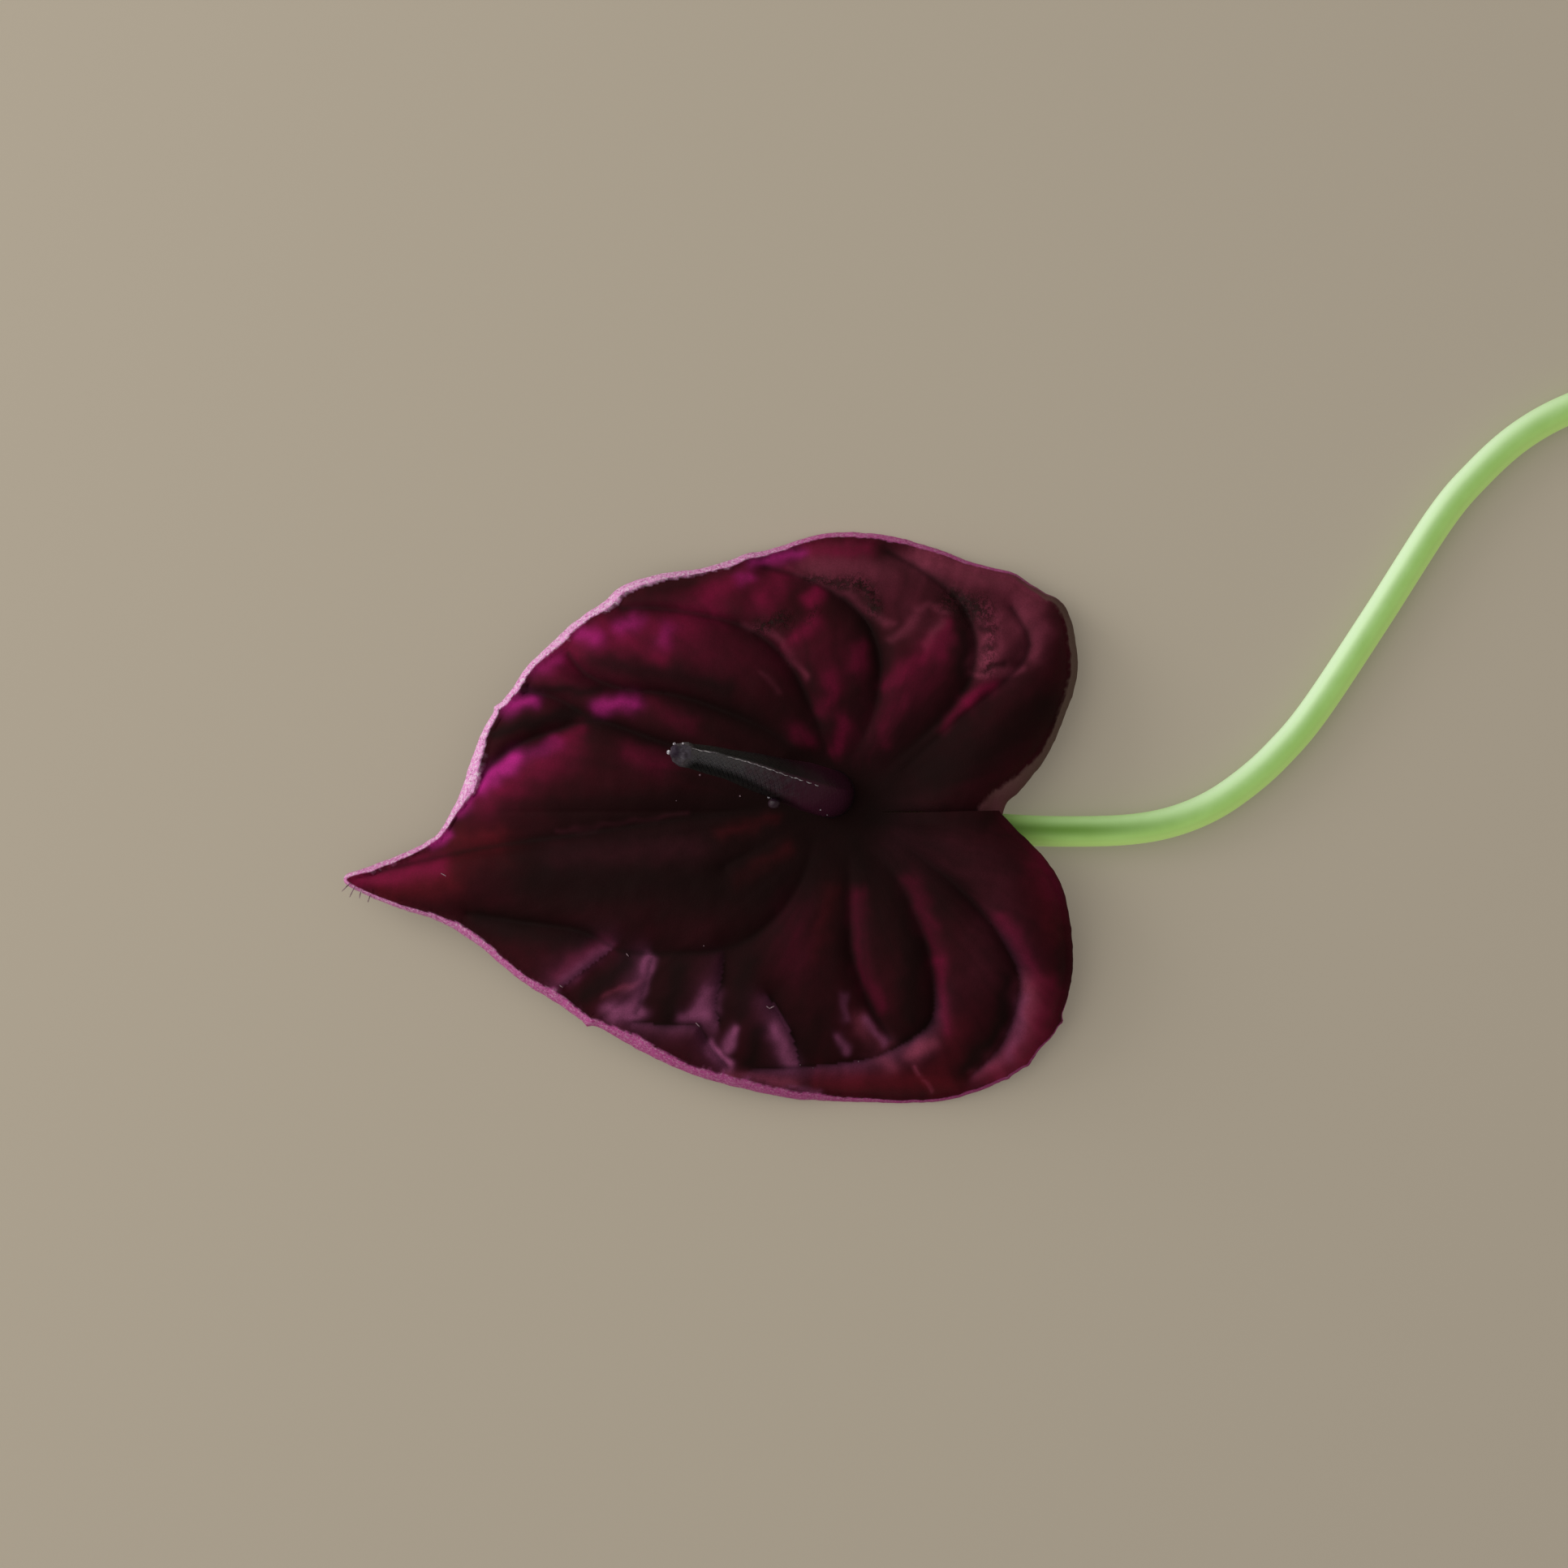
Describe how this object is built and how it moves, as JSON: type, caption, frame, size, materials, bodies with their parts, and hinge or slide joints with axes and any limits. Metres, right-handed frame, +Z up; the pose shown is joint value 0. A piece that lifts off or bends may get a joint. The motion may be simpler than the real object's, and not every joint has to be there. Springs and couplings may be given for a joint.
{
  "type": "anthurium flower",
  "caption": "Cut anthurium flower lying face up: dark heart-shaped spathe with quilted veins and a rolled margin, leaning spadix and an S-curved stem.",
  "frame": {"origin": "on the table under the middle of the whole flower's bounding box", "axes": "+Z up out of the flower's face, +X from the tip of the spathe towards the cut end of the stem, +Y towards the side the stem curves to"},
  "size_m": [0.2318, 0.1158, 0.0413],
  "materials": {
    "spathe": "waxy dark burgundy with a pink rolled margin",
    "spadix": "waxy slate black, purple at the base and pale at the tip",
    "stem": "smooth glossy light green"
  },
  "bodies": {
    "root": {"spathe": "spathe", "spadix": "spadix", "stem": "stem"}
  },
  "joints": []
}
